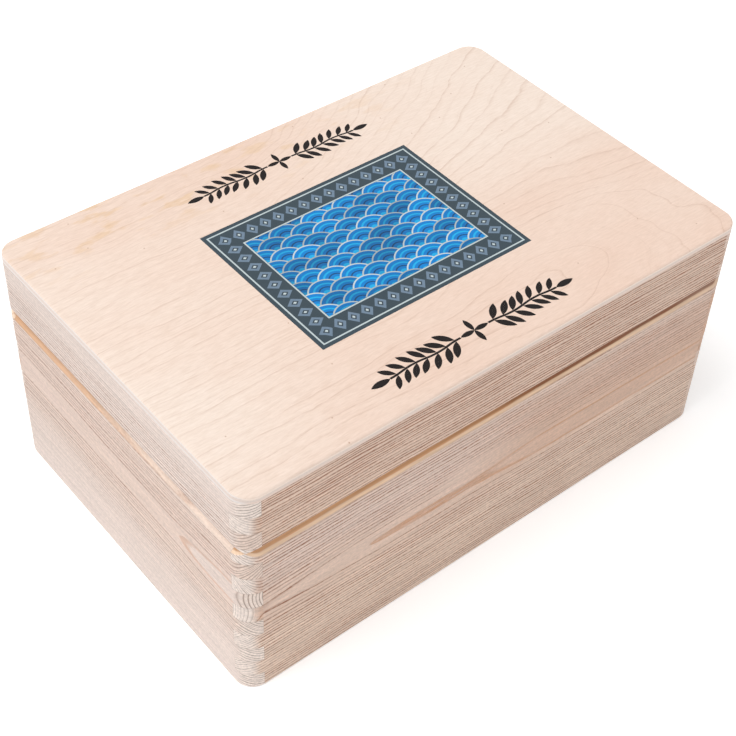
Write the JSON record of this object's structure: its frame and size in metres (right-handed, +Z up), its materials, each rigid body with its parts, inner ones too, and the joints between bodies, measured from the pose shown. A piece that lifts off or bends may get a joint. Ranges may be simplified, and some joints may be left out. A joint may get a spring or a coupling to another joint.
{
  "type": "wooden gift box",
  "caption": "Finger jointed pine keepsake box with a hinged plywood topped lid and a V grip groove round the seam.",
  "frame": {"origin": "centre of the footprint, on the surface that the box stands on", "axes": "+X along the length, +Y to the hinged back, +Z up"},
  "size_m": [0.3, 0.198, 0.133],
  "materials": {
    "pine": "sanded, unfinished",
    "plywood": "sanded birch veneer, unfinished",
    "hinge_steel": "yellow plated steel",
    "hinge_pin": "bright",
    "screw_steel": "yellow plated steel",
    "print_ink": "matt printed ink film on the lid, in the visual model only"
  },
  "bodies": {
    "box_body": {"body_front_wall": "pine", "body_back_wall": "pine", "body_left_wall": "pine", "body_right_wall": "pine", "body_bottom_panel": "plywood", "left_hinge_body_leaf": "hinge_steel", "left_hinge_pin": "hinge_pin", "left_hinge_body_screws": "screw_steel", "right_hinge_body_leaf": "hinge_steel", "right_hinge_pin": "hinge_pin", "right_hinge_body_screws": "screw_steel"},
    "lid": {"lid_front_rail": "pine", "lid_back_rail": "pine", "lid_left_rail": "pine", "lid_right_rail": "pine", "lid_top_panel": "plywood", "left_hinge_lid_leaf": "hinge_steel", "left_hinge_lid_screws": "screw_steel", "right_hinge_lid_leaf": "hinge_steel", "right_hinge_lid_screws": "screw_steel"}
  },
  "joints": [
    {"name": "lid_hinge", "type": "hinge", "parent": "box_body", "child": "lid", "pos_m": [0, 0.097, 0.0972], "axis": [-1, 0, 0], "range_deg": [0, 110]}
  ]
}
